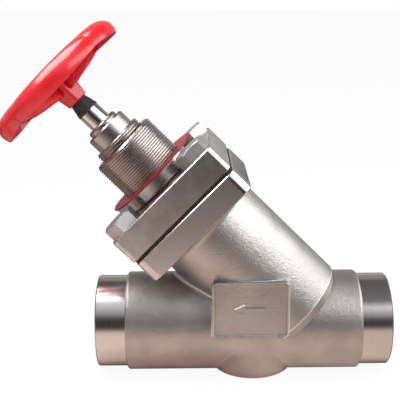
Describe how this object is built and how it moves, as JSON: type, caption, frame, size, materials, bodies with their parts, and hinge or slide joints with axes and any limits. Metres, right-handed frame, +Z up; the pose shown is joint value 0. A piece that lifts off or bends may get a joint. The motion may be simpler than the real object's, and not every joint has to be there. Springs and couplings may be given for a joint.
{
  "type": "shut-off valve",
  "caption": "Slanted-stem shut-off valve for welding into a pipe; a handwheel screws a soft-sealed cone down onto the seat in the cast body.",
  "frame": {"origin": "centre of the inlet's end face, on the pipe axis", "axes": "+X out of the inlet along the pipe axis, +Z up on the stem's side, +Y to the side away from the name field"},
  "size_m": [0.1997, 0.079, 0.1841],
  "materials": {
    "cast_steel": "fine blasted stainless casting, satin",
    "machined_steel": "fine turned and milled stainless steel",
    "bolt_steel": "stainless bolts with light tool marks",
    "polished_steel": "ground and polished stem",
    "inner_steel": "turned steel inner pieces",
    "gasket": "pressed fibre sheet, matt",
    "o_ring": "matt synthetic rubber",
    "seal_plastic": "white PTFE, waxy",
    "marker_red": "moulded ring, satin",
    "black_plastic": "moulded sleeve, matt",
    "wheel_red": "gloss enamel on a casting"
  },
  "bodies": {
    "valve": {"body": "cast_steel", "bonnet": "machined_steel", "bonnet_gasket": "gasket", "bonnet_bolts": "bolt_steel", "marker_ring": "marker_red", "packing_gland": "machined_steel", "gland_gasket": "inner_steel", "gland_o_ring": "o_ring", "stem_o_ring": "o_ring", "wiper_ring": "machined_steel", "packing_nut": "inner_steel", "packing_springs": "inner_steel", "packing_follower": "inner_steel", "packing_rings": "seal_plastic"},
    "cone_set": {"cone": "inner_steel", "seal_ring": "seal_plastic", "cone_plate": "inner_steel", "cone_washer": "inner_steel", "cone_screw": "bolt_steel", "thrust_disc": "inner_steel", "cone_retainer": "inner_steel"},
    "stem_set": {"spindle": "polished_steel", "stem_sleeve": "black_plastic", "handwheel": "wheel_red", "wheel_washer": "machined_steel", "wheel_screw": "bolt_steel"}
  },
  "joints": [
    {"name": "cone_lift", "type": "slide", "parent": "valve", "child": "cone_set", "axis": [-0.7071, 0, 0.7071], "range_m": [0, 0.012]},
    {"name": "stem_turn", "type": "hinge", "parent": "cone_set", "child": "stem_set", "pos_m": [-0.0419, 0, 0], "axis": [-0.7071, 0, 0.7071], "range_deg": [0, 2160]}
  ],
  "couplings": [
    {"joint": "cone_lift", "follows": "stem_turn", "m_per_rad": 0.0003183}
  ]
}
